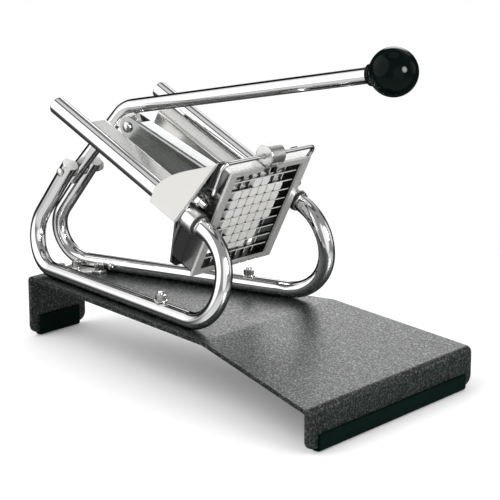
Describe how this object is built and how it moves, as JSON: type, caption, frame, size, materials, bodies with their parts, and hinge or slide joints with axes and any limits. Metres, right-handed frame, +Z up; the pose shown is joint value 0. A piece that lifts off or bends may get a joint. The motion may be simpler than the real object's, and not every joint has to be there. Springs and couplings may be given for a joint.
{
  "type": "lever vegetable dicer",
  "caption": "Lever-operated vegetable and chip cutter: a ball-ended lever drives a pusher down a sloping hopper through a blade grid, on a bent sheet base.",
  "frame": {"origin": "on the floor, at the middle of the bounding box", "axes": "+X towards the cutting grid and the ball, +Z up, Y across the machine"},
  "size_m": [0.405, 0.2128, 0.2862],
  "materials": {
    "hammered_paint": "dark grey hammered lacquer",
    "black_rubber": "matt black edge trim",
    "chrome_tube": "bright chromed tube",
    "chrome_rod": "bright chromed rod",
    "cap_plastic": "pale satin plastic",
    "satin_steel": "satin stainless sheet",
    "brushed_sheet": "stainless sheet brushed lengthwise",
    "zinc_fixings": "bright zinc plated fixings",
    "blade_steel": "ground blade steel",
    "turned_steel": "fine turned steel",
    "black_knob": "polished black plastic",
    "black_ring": "black rubber ring",
    "white_nylon": "natural white nylon"
  },
  "bodies": {
    "stand": {"base_plate": "hammered_paint", "front_trim": "black_rubber", "rear_trim": "black_rubber", "leg_near": "chrome_tube", "leg_far": "chrome_tube", "leg_caps": "cap_plastic", "rail_near": "chrome_tube", "rail_far": "chrome_tube", "leg_bolts": "zinc_fixings", "leg_nuts": "zinc_fixings", "leg_washers": "zinc_fixings", "tie_strap": "satin_steel", "strap_bolts": "zinc_fixings", "strap_washers": "zinc_fixings", "strap_nuts": "zinc_fixings", "leg_screws": "zinc_fixings", "head_plate": "satin_steel", "head_wings": "satin_steel", "hopper": "brushed_sheet", "blade_box": "satin_steel", "sockets": "satin_steel", "collars": "black_ring", "clamp_rings": "zinc_fixings", "clamp_bolts": "zinc_fixings", "clamp_nuts": "zinc_fixings", "blade_frame": "brushed_sheet", "blades_upright": "blade_steel", "blades_level": "blade_steel", "pivot_bolt": "zinc_fixings", "pivot_nut": "zinc_fixings", "pivot_washers": "zinc_fixings"},
    "lever": {"lever_rod": "chrome_rod", "lever_lug": "brushed_sheet", "ball": "black_knob", "link_bolt": "zinc_fixings", "link_nut": "zinc_fixings"},
    "link": {"link": "brushed_sheet"},
    "pusher": {"pusher_plate": "brushed_sheet", "pusher_pegs": "white_nylon", "pusher_lug": "brushed_sheet", "pusher_pin": "zinc_fixings", "pusher_shoe": "white_nylon"},
    "bail": {"bail": "chrome_rod", "bail_knob": "turned_steel"}
  },
  "joints": [
    {"name": "lever_hinge", "type": "hinge", "parent": "stand", "child": "lever", "pos_m": [-0.1552, 0, 0.153], "axis": [0, -1, 0], "range_deg": [0, 56]},
    {"name": "link_hinge", "type": "hinge", "parent": "lever", "child": "link", "pos_m": [-0.0844, 0, 0.1989], "axis": [0, -1, 0], "range_deg": [-56, 0]},
    {"name": "pusher_slide", "type": "slide", "parent": "stand", "child": "pusher", "axis": [-0.896, 0, 0.444], "range_m": [0, 0.0794]},
    {"name": "bail_hinge", "type": "hinge", "parent": "stand", "child": "bail", "pos_m": [0.04928, 0, 0.16434], "axis": [0, 1, 0], "range_deg": [0, 100]}
  ],
  "couplings": [
    {"joint": "link_hinge", "follows": "lever_hinge", "ratio": -1},
    {"joint": "pusher_slide", "follows": "lever_hinge", "m_per_rad": 0.081}
  ]
}
